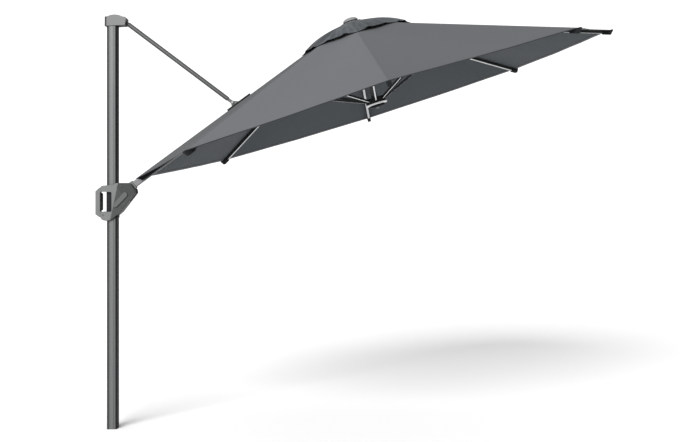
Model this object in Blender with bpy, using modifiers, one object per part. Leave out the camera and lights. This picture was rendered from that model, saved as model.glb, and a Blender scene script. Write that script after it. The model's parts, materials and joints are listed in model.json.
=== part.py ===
"""Cantilever parasol: a hinged arm carries an eight-sided canopy beside its mast.

Units are metres, +Z is up, the mast's axis is the line x = y = 0 and its foot stands at z = 0.
The arm doubles as the canopy's first rib, so the canopy folds along it like an umbrella.
"""

import math

import bmesh
import bpy
from mathutils import Matrix, Vector

# Canopy: a regular eight-sided pyramid, tilted away from the mast
CANOPY_RADIUS = 1.500
CANOPY_RISE = 0.518
CANOPY_TILT = math.radians(17.66)
RIM_CENTRE = Vector((1.563, 0.0, 1.935))
RIB_COUNT = 8
FOLDED_SLOPE = math.radians(86.0)
CLOTH = 0.002

# Mast linkage: the tie rod and the lower arm are equally long, so the carriage stays on the mast
PIVOT_X = 0.044
TIE_PIVOT_Z = 2.430
CARRIAGE_PIVOT_Z = 1.440
BRACKET_PIVOT_X = 0.702

# Mast and cap
MAST_X = 0.060
MAST_Y = 0.085
MAST_CORNER = 0.014
MAST_WALL = 0.0025
MAST_TOP = 2.412
CAP_HALF_WIDTH = 0.048
CAP_SLOT = 0.0115

# Carriage
HOUSING_HALF_WIDTH = 0.062
HOUSING_ROUNDING = 0.007
CHANNEL = 0.0205
LINER = 0.0029
GRIP_HALF_WIDTH = 0.026

# Arm and tie rod
ARM_WIDTH = 0.030
ARM_TOP = -0.0045
ARM_BOTTOM = -0.042
ARM_WALL = 0.002
ARM_START = 0.110
ARM_END = 1.664
TIE_RADIUS = 0.010
TIE_BORE = 0.0085
EYE_RADIUS = 0.011
PIN_RADIUS = 0.0045

# Hub, ribs, struts and runner, in the canopy's own frame
HINGE_RADIUS = 0.052
HINGE_DEPTH = -0.016
RIB_WIDTH = 0.014
RIB_BOTTOM = -0.026
RIB_END = 1.580
STRUT_REACH = 0.669
STRUT_DEPTH = -0.052
STRUT_WIDTH = 0.008
STRUT_HALF_HEIGHT = 0.0065
TRUNNION = 0.003
HUB_PIN = 0.0025
POLE_RADIUS = 0.020
BAND_START = 0.0715
VENT_END = 0.350
GAP = 0.0003

RISE_ANGLE = math.atan2(CANOPY_RISE, CANOPY_RADIUS)
FOLD_ANGLE = FOLDED_SLOPE - RISE_ANGLE
RIB_LENGTH = math.hypot(CANOPY_RADIUS, CANOPY_RISE)
RIB_STEP = 2 * math.pi / RIB_COUNT
GORE_RADIUS = CANOPY_RADIUS * math.cos(RIB_STEP / 2)
GORE_ANGLE = math.atan2(CANOPY_RISE, GORE_RADIUS)
GORE_LENGTH = math.hypot(GORE_RADIUS, CANOPY_RISE)
ARM_ANGLE = RISE_ANGLE + CANOPY_TILT
APEX = RIM_CENTRE + CANOPY_RISE * Vector((-math.sin(CANOPY_TILT), 0, math.cos(CANOPY_TILT)))
CANOPY = Matrix.Translation(APEX) @ Matrix.Rotation(math.pi, 4, "Z") @ Matrix.Rotation(CANOPY_TILT, 4, "Y")

TIE_PIVOT = Vector((PIVOT_X, 0, TIE_PIVOT_Z))
CARRIAGE_PIVOT = Vector((PIVOT_X, 0, CARRIAGE_PIVOT_Z))
BRACKET_PIVOT = Vector((BRACKET_PIVOT_X, 0, (TIE_PIVOT_Z + CARRIAGE_PIVOT_Z) / 2))


# Frames


def rib_frame(index):
    """X runs outwards along the cloth over a rib, Z stands square to it, and the apex is the origin."""
    return CANOPY @ Matrix.Rotation(RIB_STEP * index, 4, "Z") @ Matrix.Rotation(RISE_ANGLE, 4, "Y")


def gore_frame(index):
    """X runs outwards along the middle of the gore after rib number index."""
    turn = Matrix.Rotation(RIB_STEP * (index + 0.5), 4, "Z")
    return CANOPY @ turn @ Matrix.Rotation(GORE_ANGLE, 4, "Y")


def in_rib(radius, height):
    """A point of the canopy's frame, in a rib's upright plane, as (along, above) the cloth."""
    along = radius * math.cos(RISE_ANGLE) - height * math.sin(RISE_ANGLE)
    above = radius * math.sin(RISE_ANGLE) + height * math.cos(RISE_ANGLE)
    return along, above


def in_canopy(along, above):
    """The reverse of in_rib: (radius, height) of a point given along and above a rib's cloth."""
    radius = along * math.cos(RISE_ANGLE) + above * math.sin(RISE_ANGLE)
    height = -along * math.sin(RISE_ANGLE) + above * math.cos(RISE_ANGLE)
    return radius, height


HINGE_ALONG = (HINGE_RADIUS - HINGE_DEPTH * math.sin(RISE_ANGLE)) / math.cos(RISE_ANGLE)
HINGE = Vector((HINGE_ALONG, 0, HINGE_DEPTH))
HINGE_LEVEL = in_canopy(HINGE_ALONG, HINGE_DEPTH)[1]
KNEE = Vector((STRUT_REACH, 0, STRUT_DEPTH))
# the strut mirrors the stretch of rib above it, so that its foot is always under the hub's hinge
RUNNER_LEVEL = 2 * in_canopy(STRUT_REACH, STRUT_DEPTH)[1] - HINGE_LEVEL
STRUT_FOOT = Vector((in_rib(HINGE_RADIUS, RUNNER_LEVEL)[0], 0, in_rib(HINGE_RADIUS, RUNNER_LEVEL)[1]))


def gore_direction():
    """In a rib's frame: the unit vector across the neighbouring gore, square to the rib."""
    near = Vector((math.cos(RISE_ANGLE), 0, -math.sin(RISE_ANGLE)))
    far = Matrix.Rotation(RIB_STEP, 3, "Z") @ near
    across = (far - near * far.dot(near)).normalized()
    return Matrix.Rotation(-RISE_ANGLE, 3, "Y") @ across


ACROSS = gore_direction()
HALF_GORE = math.acos(GORE_LENGTH / RIB_LENGTH)


def folded(point):
    """Where a point of a rib's frame goes when the rib hangs folded, in upright axes at the apex."""
    turned = HINGE + Matrix.Rotation(FOLD_ANGLE, 3, "Y") @ (point - HINGE)
    return Matrix.Rotation(RISE_ANGLE, 3, "Y") @ turned


def band_half_width(along):
    """The cloth over a rib is as wide as the folded frame leaves room for between neighbours."""
    mid_plane = Vector((-math.sin(RIB_STEP / 2), math.cos(RIB_STEP / 2), 0))
    start = folded(Vector((along, 0, 0)))
    across = folded(Vector((along, 0, 0)) + ACROSS) - start
    return -start.dot(mid_plane) / across.dot(mid_plane)


BAND_TAPER = band_half_width(1.0) - band_half_width(0.0)
CORNER_ALONG = (GORE_LENGTH - band_half_width(0.0) * math.sin(HALF_GORE)) / (
    math.cos(HALF_GORE) + BAND_TAPER * math.sin(HALF_GORE)
)


def seam_in_gore(along):
    """The band's edge as (distance along, half width) in the gore's frame."""
    width = band_half_width(along)
    return (
        along * math.cos(HALF_GORE) + width * math.sin(HALF_GORE),
        along * math.sin(HALF_GORE) - width * math.cos(HALF_GORE),
    )


def folded_seam(along):
    """The folded band's edge in the gore's upright plane, as (radius, height)."""
    point = folded(Vector((along, 0, 0)) + ACROSS * band_half_width(along))
    return math.hypot(point.x, point.y), point.z


def gore_hinge():
    """Where a gore's middle turns, as (radius, height), and by what angle, to lie on the folded seam."""
    top_radius, top_height = folded_seam(BAND_START)
    low_radius, low_height = folded_seam(CORNER_ALONG)
    turn = math.atan2(top_height - low_height, low_radius - top_radius) - GORE_ANGLE
    start_along = seam_in_gore(BAND_START)[0]
    start = Vector((start_along * math.cos(GORE_ANGLE), -start_along * math.sin(GORE_ANGLE)))
    end = Vector((top_radius, top_height))
    travel = end - start
    square = Vector((travel.y, -travel.x)).normalized()
    centre = (start + end) / 2 + square * travel.length / 2 / math.tan(turn / 2)
    return centre, turn


GORE_HINGE, GORE_FOLD = gore_hinge()


# Mesh helpers

for old in list(bpy.data.objects):
    bpy.data.objects.remove(old)

PARTS = bpy.data.collections.new("cantilever_parasol")
bpy.context.scene.collection.children.link(PARTS)
WORK = bpy.data.collections.new("cutters")
bpy.context.scene.collection.children.link(WORK)


def evaluated(maker, modifiers=()):
    """The mesh of a curve or mesh with its modifiers applied."""
    helper = bpy.data.objects.new("helper", maker)
    WORK.objects.link(helper)
    for kind, settings in modifiers:
        modifier = helper.modifiers.new(kind, kind)
        for key, value in settings.items():
            setattr(modifier, key, value)
    bpy.context.view_layer.update()
    mesh = bpy.data.meshes.new_from_object(helper.evaluated_get(bpy.context.evaluated_depsgraph_get()))
    bpy.data.objects.remove(helper)
    return mesh


def cleaned(mesh):
    """Welds coincident corners and faces everything outwards."""
    work = bmesh.new()
    work.from_mesh(mesh)
    bmesh.ops.remove_doubles(work, verts=work.verts, dist=5e-6)
    bmesh.ops.dissolve_degenerate(work, edges=work.edges, dist=5e-6)
    bmesh.ops.recalc_face_normals(work, faces=work.faces)
    work.to_mesh(mesh)
    work.free()
    return mesh


def box(low, high):
    mesh = bpy.data.meshes.new("box")
    work = bmesh.new()
    low, high = Vector(low), Vector(high)
    size = high - low
    place = Matrix.Translation((low + high) / 2) @ Matrix.Diagonal((*size, 1))
    bmesh.ops.create_cube(work, size=1, matrix=place)
    work.to_mesh(mesh)
    work.free()
    return mesh


def rod(start, end, radius, segments=20):
    mesh = bpy.data.meshes.new("rod")
    start, end = Vector(start), Vector(end)
    turn = (end - start).to_track_quat("Z", "Y").to_matrix().to_4x4()
    work = bmesh.new()
    bmesh.ops.create_cone(
        work,
        cap_ends=True,
        segments=segments,
        radius1=radius,
        radius2=radius,
        depth=(end - start).length,
        matrix=Matrix.Translation((start + end) / 2) @ turn,
    )
    work.to_mesh(mesh)
    work.free()
    return mesh


def corners_only(outline):
    """The outline without repeated points or points in the middle of a straight side."""
    kept = []
    for index, here in enumerate(outline):
        before, after = Vector(outline[index - 1]), Vector(outline[(index + 1) % len(outline)])
        first, second = Vector(here) - before, after - Vector(here)
        if first.length > 1e-5 and abs(first.x * second.y - first.y * second.x) > 1e-9:
            kept.append(here)
    return kept


def slab(outlines, half_thickness):
    """Closed outlines in XY, filled and thickened along Z; an outline inside another is a hole."""
    curve = bpy.data.curves.new("outline", "CURVE")
    curve.dimensions = "2D"
    curve.fill_mode = "BOTH"
    curve.extrude = half_thickness
    for outline in map(corners_only, outlines):
        spline = curve.splines.new("POLY")
        spline.points.add(len(outline) - 1)
        spline.use_cyclic_u = True
        for point, (x, y) in zip(spline.points, outline):
            point.co = (x, y, 0, 1)
    return cleaned(evaluated(curve))


def side_slab(outlines, low, high):
    """Outlines in XZ, thickened along Y from low to high."""
    mesh = slab(outlines, (high - low) / 2)
    mesh.transform(Matrix.Translation((0, (low + high) / 2, 0)) @ Matrix.Rotation(math.pi / 2, 4, "X"))
    return mesh


def bar(outlines, low, high):
    """Outlines in YZ, drawn out along X from low to high."""
    mesh = slab(outlines, (high - low) / 2)
    turn = Matrix(((0, 0, 1, 0), (1, 0, 0, 0), (0, 1, 0, 0), (0, 0, 0, 1)))
    mesh.transform(Matrix.Translation(((low + high) / 2, 0, 0)) @ turn)
    return mesh


def turned(profile, segments=48):
    """A closed (radius, height) profile turned round Z."""
    mesh = bpy.data.meshes.new("profile")
    edges = [(i, (i + 1) % len(profile)) for i in range(len(profile))]
    mesh.from_pydata([(r, 0, z) for r, z in profile], edges, [])
    settings = {
        "axis": "Z",
        "steps": segments,
        "render_steps": segments,
        "use_merge_vertices": True,
        "merge_threshold": 0.00001,
    }
    return cleaned(evaluated(mesh, [("SCREW", settings)]))


def bevelled(mesh, width, segments=2, angle=40):
    settings = {
        "width": width,
        "segments": segments,
        "limit_method": "ANGLE",
        "angle_limit": math.radians(angle),
        "use_clamp_overlap": True,
    }
    return cleaned(evaluated(mesh, [("BEVEL", settings), ("TRIANGULATE", {})]))


def combined(mesh, others, operation):
    for other in others:
        tool = bpy.data.objects.new("tool", other)
        WORK.objects.link(tool)
        mesh = evaluated(mesh, [("BOOLEAN", {"operation": operation, "object": tool, "solver": "EXACT"})])
        bpy.data.objects.remove(tool)
    return mesh


def cut(mesh, *tools):
    return combined(mesh, tools, "DIFFERENCE")


def joined(mesh, *pieces):
    return combined(mesh, pieces, "UNION")


def cloth(surface, faces):
    """An open surface given a cloth's thickness below it."""
    mesh = bpy.data.meshes.new("cloth")
    mesh.from_pydata([tuple(point) for point in surface], [], faces)
    if mesh.polygons[0].normal.z < 0:
        mesh.flip_normals()
    settings = {"thickness": CLOTH, "offset": -1, "use_even_offset": True}
    return cleaned(evaluated(mesh, [("SOLIDIFY", settings)]))


def arc(centre, radius, start, end, steps):
    """Points on a circle from one angle to another, in degrees."""
    angles = [math.radians(start + (end - start) * i / steps) for i in range(steps + 1)]
    return [(centre[0] + radius * math.cos(a), centre[1] + radius * math.sin(a)) for a in angles]


def rounded(width, height, radius, centre=(0, 0), steps=4):
    """A rectangle with round corners."""
    x, y = width / 2 - radius, height / 2 - radius
    corners = ((x, y, 0), (-x, y, 90), (-x, -y, 180), (x, -y, 270))
    return [
        point
        for cx, cy, start in corners
        for point in arc((centre[0] + cx, centre[1] + cy), radius, start, start + 90, steps)
    ]


def material(name, colour, roughness, metallic):
    made = bpy.data.materials.new(name)
    made.use_nodes = True
    shader = made.node_tree.nodes["Principled BSDF"]
    shader.inputs["Base Color"].default_value = (*colour, 1)
    shader.inputs["Roughness"].default_value = roughness
    shader.inputs["Metallic"].default_value = metallic
    return made


FINISHES = {
    "coated": ((0.40, 0.41, 0.42), 0.45, 0.3),
    "bright": ((0.70, 0.71, 0.72), 0.30, 0.9),
    "grey_plastic": ((0.36, 0.37, 0.37), 0.55, 0.0),
    "dark_plastic": ((0.05, 0.05, 0.055), 0.60, 0.0),
    "canvas": ((0.17, 0.18, 0.19), 0.90, 0.0),
}


def joint_empty(name, frame, pivot):
    """An empty on a joint's axis, in the given frame."""
    empty = bpy.data.objects.new(name, None)
    empty.empty_display_size = 0.05
    empty.matrix_world = frame @ Matrix.Translation(pivot)
    PARTS.objects.link(empty)
    return empty


def place(name, mesh, finish, empty, pivot=(0, 0, 0)):
    """Adds a part whose mesh is given in the joint's frame."""
    mesh.transform(Matrix.Translation(-Vector(pivot)))
    mesh.name = name
    mesh.shade_smooth()
    mesh.set_sharp_from_angle(angle=math.radians(30))
    part = bpy.data.objects.new(name, mesh)
    part.parent = empty
    mesh.materials.clear()
    mesh.materials.append(material(name, *FINISHES[finish]))
    PARTS.objects.link(part)
    return part


# Mast, foot plug and cap


def make_mast():
    foot = joint_empty("mast_axis", Matrix.Identity(4), (0, 0, 0))
    inner_x, inner_y = MAST_X - 2 * MAST_WALL, MAST_Y - 2 * MAST_WALL
    outer = rounded(MAST_X, MAST_Y, MAST_CORNER)
    inner = rounded(inner_x, inner_y, MAST_CORNER - MAST_WALL)
    tube = slab([outer, inner], MAST_TOP / 2)
    tube.transform(Matrix.Translation((0, 0, MAST_TOP / 2)))
    place("mast_tube", tube, "coated", foot)

    plug_height = 0.030
    plug = slab([rounded(inner_x - 2 * GAP, inner_y - 2 * GAP, MAST_CORNER - MAST_WALL)], plug_height / 2)
    plug.transform(Matrix.Translation((0, 0, plug_height / 2)))
    screw_holes = [
        rod((x, y, -0.01), (x, y, 0.04), 0.0025, 12) for x in (-0.016, 0.016) for y in (-0.026, 0.026)
    ]
    place("mast_foot_plug", cut(plug, *screw_holes), "dark_plastic", foot)

    outline = [(-0.041, 2.379), (0.077, 2.386), (0.0835, 2.424), (0.079, 2.434)]
    outline += arc((0.018, 2.352), 0.0950, 62, 118, 6)
    outline += [(-0.040, 2.434)]
    shell = bevelled(side_slab([outline], -CAP_HALF_WIDTH, CAP_HALF_WIDTH), 0.005, 3)
    half_x, half_y = MAST_X / 2 + 2 * GAP, MAST_Y / 2 + 2 * GAP
    socket = box((-half_x, -half_y, 2.3), (half_x, half_y, MAST_TOP + GAP))
    slot = box((half_x, -CAP_SLOT, 2.3), (0.12, CAP_SLOT, TIE_PIVOT_Z + EYE_RADIUS + 0.0015))
    pin_hole = rod((PIVOT_X, -0.044, TIE_PIVOT_Z), (PIVOT_X, 0.044, TIE_PIVOT_Z), PIN_RADIUS + GAP)
    place("mast_cap", cut(shell, socket, slot, pin_hole), "grey_plastic", foot)
    pin = rod((PIVOT_X, -0.0435, TIE_PIVOT_Z), (PIVOT_X, 0.0435, TIE_PIVOT_Z), PIN_RADIUS)
    place("tie_pivot_pin", pin, "bright", foot)


# Tie rod: X runs from the mast's pivot to the arm's bracket


def tie_frame():
    direction = BRACKET_PIVOT - TIE_PIVOT
    return Matrix.Translation(TIE_PIVOT) @ Matrix.Rotation(math.atan2(-direction.z, direction.x), 4, "Y")


def make_tie_rod():
    length = (BRACKET_PIVOT - TIE_PIVOT).length
    frame = joint_empty("tie_rod_hinge", tie_frame(), (0, 0, 0))
    eye_start, fork_start = 0.016, length - 0.030
    outer = rounded(2 * TIE_RADIUS, 2 * TIE_RADIUS, TIE_RADIUS - 1e-5, steps=6)
    inner = rounded(2 * TIE_BORE, 2 * TIE_BORE, TIE_BORE - 1e-5, steps=6)
    place("tie_rod_tube", bar([outer, inner], eye_start, fork_start), "coated", frame)

    plug = TIE_BORE - GAP
    eye = rod((0, -0.008, 0), (0, 0.008, 0), EYE_RADIUS, 24)
    eye = joined(eye, rod((0.004, 0, 0), (0.060, 0, 0), plug - 0.0002))
    eye = cut(eye, rod((0, -0.02, 0), (0, 0.02, 0), PIN_RADIUS + GAP))
    place("tie_rod_eye", eye, "bright", frame)

    fork = rod((length, -0.0115, 0), (length, 0.0115, 0), EYE_RADIUS, 24)
    fork = joined(
        fork,
        box((length - 0.029, -0.0115, -0.0095), (length, 0.0115, 0.0095)),
        rod((length - 0.080, 0, 0), (length - 0.020, 0, 0), plug - 0.0002),
    )
    slot = box((length - 0.020, -0.0055, -0.02), (length + 0.02, 0.0055, 0.02))
    fork = cut(fork, slot, rod((length, -0.02, 0), (length, 0.02, 0), PIN_RADIUS + GAP))
    place("tie_rod_fork", fork, "bright", frame)


# Arm, in the frame of rib 0: X runs down the arm from the apex, Z stands on its upper side


def in_arm(point):
    return rib_frame(0).inverted() @ point


def make_arm():
    pivot = in_arm(BRACKET_PIVOT)
    root = in_arm(CARRIAGE_PIVOT)
    frame = joint_empty("arm_hinge", rib_frame(0), pivot)
    height = ARM_TOP - ARM_BOTTOM
    middle = (ARM_TOP + ARM_BOTTOM) / 2
    outer = rounded(ARM_WIDTH, height, 0.004, (0, middle), 3)
    inner = rounded(ARM_WIDTH - 2 * ARM_WALL, height - 2 * ARM_WALL, 0.002, (0, middle), 3)
    place("arm_tube", bar([outer, inner], ARM_START, ARM_END), "coated", frame, pivot)

    # the head slides into the tube and ends in a tongue like the ribs'
    tongue = [(ARM_START + 0.02, RIB_BOTTOM), (ARM_START + 0.02, ARM_TOP - 0.004)]
    tongue += [(HINGE_ALONG + 0.018, ARM_TOP)]
    tongue += arc((HINGE_ALONG, HINGE_DEPTH), 0.010, 90, 270, 8)
    tongue += [(HINGE_ALONG + 0.018, RIB_BOTTOM)]
    plug_half = ARM_WIDTH / 2 - ARM_WALL - GAP
    low, high = ARM_BOTTOM + ARM_WALL + GAP, ARM_TOP - ARM_WALL - GAP
    plug_outline = rounded(2 * plug_half, high - low, 0.002, (0, middle), 3)
    plug = bar([plug_outline], ARM_START + 0.001, ARM_START + 0.060)
    collar = box((ARM_START - 0.014, -0.013, ARM_BOTTOM + 0.006), (ARM_START - GAP, 0.013, ARM_TOP - 0.001))
    neck = box((ARM_START - 0.005, -0.010, low + 0.004), (ARM_START + 0.010, 0.010, high - 0.004))
    head = joined(side_slab([tongue], -RIB_WIDTH / 2, RIB_WIDTH / 2), plug, collar, neck)
    pin_hole = rod((HINGE_ALONG, -0.02, HINGE_DEPTH), (HINGE_ALONG, 0.02, HINGE_DEPTH), HUB_PIN + GAP, 16)
    place("arm_head", cut(head, pin_hole), "bright", frame, pivot)

    # the lug hangs the first strut under the arm
    foot = ARM_BOTTOM - GAP
    lug = [(KNEE.x - 0.030, foot), (KNEE.x - 0.030, foot - 0.004)]
    lug += arc((KNEE.x, KNEE.z), 0.0085, 205, 335, 6)
    lug += [(KNEE.x + 0.030, foot - 0.004), (KNEE.x + 0.030, foot)]
    lug = side_slab([lug], -0.009, 0.009)
    slot_half = STRUT_WIDTH / 2 + 0.0007
    slot = box((KNEE.x - 0.04, -slot_half, -0.1), (KNEE.x + 0.04, slot_half, foot - 0.0015))
    pin_hole = rod((KNEE.x, -0.02, KNEE.z), (KNEE.x, 0.02, KNEE.z), TRUNNION + GAP, 16)
    place("arm_strut_lug", cut(lug, slot, pin_hole), "grey_plastic", frame, pivot)

    # the bracket straddles the arm and stands up through the cloth
    saddle_half = 0.0175
    inner_half = ARM_WIDTH / 2 + GAP
    saddle_top = 0.002
    saddle = box((pivot.x - 0.052, -saddle_half, -0.030), (pivot.x + 0.030, saddle_half, saddle_top))
    saddle = bevelled(saddle, 0.0015, 1)
    ear = [(pivot.x - 0.045, 0), (pivot.x + 0.022, 0)]
    ear += arc((pivot.x, pivot.z), EYE_RADIUS, -20, 110, 6)
    bracket = joined(saddle, side_slab([ear], -0.005, 0.005))
    arm_space = box((pivot.x - 0.1, -inner_half, -0.1), (pivot.x + 0.1, inner_half, ARM_TOP + GAP))
    pin_hole = rod((pivot.x, -0.02, pivot.z), (pivot.x, 0.02, pivot.z), PIN_RADIUS + GAP)
    place("arm_bracket", cut(bracket, arm_space, pin_hole), "bright", frame, pivot)
    pin = rod((pivot.x, -0.0135, pivot.z), (pivot.x, 0.0135, pivot.z), PIN_RADIUS)
    heads = [
        rod((pivot.x, side * (0.0115 + GAP), pivot.z), (pivot.x, side * 0.0155, pivot.z), 0.0075, 6)
        for side in (-1, 1)
    ]
    place("bracket_pin", joined(pin, *heads), "bright", frame, pivot)

    # the root socket holds the tube's lower end and turns in the carriage
    socket = [(1.612, -0.047), (1.612, 0.001), (root.x - 0.022, 0.004)]
    socket += arc((root.x, root.z), 0.0105, 110, -60, 7)
    socket += [(root.x + 0.0075, -0.040), (root.x, -0.047)]
    socket = bevelled(side_slab([socket], -0.0195, 0.0195), 0.003, 2)
    half = ARM_WIDTH / 2 + GAP
    tube_space = box((1.5, -half, ARM_BOTTOM - GAP), (ARM_END + GAP, half, ARM_TOP + GAP))
    pin_hole = rod((root.x, -0.03, root.z), (root.x, 0.03, root.z), PIN_RADIUS + GAP)
    place("arm_root_socket", cut(socket, tube_space, pin_hole), "grey_plastic", frame, pivot)


# Carriage that slides on the mast


HOUSING_SCREWS = {"lower": (-0.0449, 1.2640), "upper": (0.072, 1.330)}
LEVER_TOP = Vector((0.080, 0, 1.384))
LEVER_END = Vector((0.024, 0, 1.322))


def make_carriage():
    frame = joint_empty("carriage_hinge", Matrix.Identity(4), CARRIAGE_PIVOT)
    pivot = CARRIAGE_PIVOT
    outline = [(-0.060, 1.436), (-0.060, 1.240), (-0.045, 1.233), (-0.024, 1.229), (0.000, 1.236)]
    outline += [(0.030, 1.262), (0.054, 1.282), (0.139, 1.394), (0.137, 1.412), (0.114, 1.447)]
    outline += [(0.094, 1.4535), (0.030, 1.4535), (0.010, 1.4435)]
    width = HOUSING_HALF_WIDTH
    block = bevelled(side_slab([outline], -width, width), HOUSING_ROUNDING, 3, 50)
    room_x, room_y = MAST_X / 2 + 2 * GAP + LINER, MAST_Y / 2 + 2 * GAP + LINER
    mast_room = box((-room_x, -room_y, 1.0), (room_x, room_y, 1.6))
    channel = box((PIVOT_X - 0.0125, -CHANNEL, 1.345), (0.3, CHANNEL, 1.6))
    window = bevelled(box((-0.084, -0.1, 1.2835), (0.002, 0.1, 1.4005)), 0.008, 3)
    pivot_hole = rod((pivot.x, -0.057, pivot.z), (pivot.x, 0.057, pivot.z), PIN_RADIUS + GAP)
    lever_hole = rod((LEVER_TOP.x, -0.08, LEVER_TOP.z), (LEVER_TOP.x, -0.050, LEVER_TOP.z), 0.0043)
    grip_seat = box((-0.08, -GRIP_HALF_WIDTH - GAP, 1.22), (-0.0555, GRIP_HALF_WIDTH + GAP, 1.46))
    holes = [rod((x, -0.1, z), (x, 0.1, z), 0.0028, 12) for x, z in HOUSING_SCREWS.values()]
    recesses = [
        rod((x, side * 0.1, z), (x, side * (width - 0.005), z), 0.0052, 16)
        for x, z in HOUSING_SCREWS.values()
        for side in (-1, 1)
    ]
    block = cut(block, mast_room, channel, window, pivot_hole, lever_hole, grip_seat, *holes, *recesses)
    halves = {"carriage_shell_near": box((-0.3, -GAP / 2, 1), (0.3, 0.3, 1.7))}
    halves["carriage_shell_far"] = box((-0.3, -0.3, 1), (0.3, GAP / 2, 1.7))
    for name, other_side in halves.items():
        place(name, cut(block, other_side), "grey_plastic", frame, pivot)

    for name, (x, z) in HOUSING_SCREWS.items():
        head, tip = -width + 0.0045, width - 0.0045
        screw = rod((x, head, z), (x, tip, z), 0.0024, 12)
        heads = [
            rod((x, side * (width - 0.0047), z), (x, side * (width - 0.0020), z), 0.0048, 16)
            for side in (-1, 1)
        ]
        place(f"carriage_screw_{name}", joined(screw, *heads), "bright", frame, pivot)

    # the loop that the hand holds, open at the mast's side
    loop = [(-0.056, 1.4355), (-0.077, 1.424), (-0.0985, 1.404), (-0.0985, 1.268), (-0.080, 1.2545)]
    loop += [(-0.056, 1.2415), (-0.056, 1.281)]
    loop += arc((-0.063, 1.290), 0.009, -90, -180, 4)
    loop += arc((-0.063, 1.394), 0.009, 180, 90, 4)
    loop += [(-0.056, 1.403)]
    grip = bevelled(side_slab([loop], -GRIP_HALF_WIDTH, GRIP_HALF_WIDTH), 0.006, 3, 50)
    place("carriage_grip", grip, "dark_plastic", frame, pivot)

    half_x, half_y = MAST_X / 2 + GAP, MAST_Y / 2 + GAP
    outer = rounded(2 * (half_x + LINER), 2 * (half_y + LINER), MAST_CORNER + LINER)
    inner = rounded(2 * half_x, 2 * half_y, MAST_CORNER)
    liner = slab([outer, inner], 0.094)
    liner.transform(Matrix.Translation((0, 0, 1.342)))
    arm_notch = box((0.0, -CHANNEL, 1.345), (0.1, CHANNEL, 1.6))
    place("carriage_liner", cut(liner, arm_notch), "dark_plastic", frame, pivot)
    pin = rod((pivot.x, -0.0565, pivot.z), (pivot.x, 0.0565, pivot.z), PIN_RADIUS)
    place("carriage_pivot_pin", pin, "bright", frame, pivot)
    pin = rod((LEVER_TOP.x, -0.0545, LEVER_TOP.z), (LEVER_TOP.x, -0.0722, LEVER_TOP.z), 0.0040)
    pin = joined(pin, rod((LEVER_TOP.x, -0.0515, LEVER_TOP.z), (LEVER_TOP.x, -0.0550, LEVER_TOP.z), 0.0041))
    place("lever_pin", pin, "bright", frame, pivot)


def make_release_lever():
    frame = joint_empty("release_lever_hinge", Matrix.Identity(4), LEVER_TOP)
    down = LEVER_END - LEVER_TOP
    slope = math.degrees(math.atan2(down.z, down.x))
    outline = arc((LEVER_TOP.x, LEVER_TOP.z), 0.015, slope + 90, slope + 270, 8)
    outline += arc((LEVER_END.x, LEVER_END.z), 0.0125, slope - 90, slope + 90, 8)
    face = -HOUSING_HALF_WIDTH - GAP
    lever = bevelled(side_slab([outline], face - 0.009, face), 0.0025, 2)
    pin_hole = rod((LEVER_TOP.x, -0.1, LEVER_TOP.z), (LEVER_TOP.x, 0.0, LEVER_TOP.z), 0.0043)
    place("release_lever", cut(lever, pin_hole), "grey_plastic", frame, LEVER_TOP)


# Hub, finial and centre pole, in the canopy's frame: Z is the canopy's axis


def hub_pin_ends(index, radius, height, half_length):
    """Both ends of a pin that crosses rib number index."""
    turn = Matrix.Rotation(RIB_STEP * index, 3, "Z")
    return [turn @ Vector((radius, side * half_length, height)) for side in (-1, 1)]


def slots(half_width, inner, low, high):
    """One radial slot for each rib."""
    made = []
    for index in range(RIB_COUNT):
        slot = box((inner, -half_width, low), (0.1, half_width, high))
        slot.transform(Matrix.Rotation(RIB_STEP * index, 4, "Z"))
        made.append(slot)
    return made


def make_hub():
    hinge = Vector((HINGE_RADIUS, 0, HINGE_LEVEL))
    frame = joint_empty("hub_hinge", CANOPY, hinge)
    bore = POLE_RADIUS + GAP
    profile = [(0, -0.010), (0.062, -0.010), (0.064, -0.012), (0.064, -0.016), (0.060, -0.018)]
    profile += [(0.060, -0.052), (bore, -0.052), (bore, -0.018), (0, -0.018)]
    pins = [
        rod(*hub_pin_ends(index, HINGE_RADIUS, HINGE_LEVEL, 0.0110), HUB_PIN, 12)
        for index in range(RIB_COUNT)
    ]
    hub = cut(turned(profile), *slots(RIB_WIDTH / 2 + 0.0007, 0.040, -0.1, -0.020))
    place("crown_hub", joined(hub, *pins), "bright", frame, hinge)

    dome = [(0, 0.019), (0.018, 0.0180), (0.033, 0.0138), (0.043, 0.0065), (0.046, 0.0010), (0.046, -0.0020)]
    dome += [(0.007, -0.0020), (0.007, -0.010 + GAP), (0, -0.010 + GAP)]
    place("crown_finial", turned(dome), "grey_plastic", frame, hinge)

    pole_bottom = RUNNER_LEVEL + 0.010
    wall = 0.0025
    pole = [(POLE_RADIUS, -0.019), (POLE_RADIUS, pole_bottom), (POLE_RADIUS - wall, pole_bottom)]
    pole += [(POLE_RADIUS - wall, -0.019)]
    place("centre_pole", turned(pole, 32), "coated", frame, hinge)


# Ribs and struts, in a rib's frame


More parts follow.
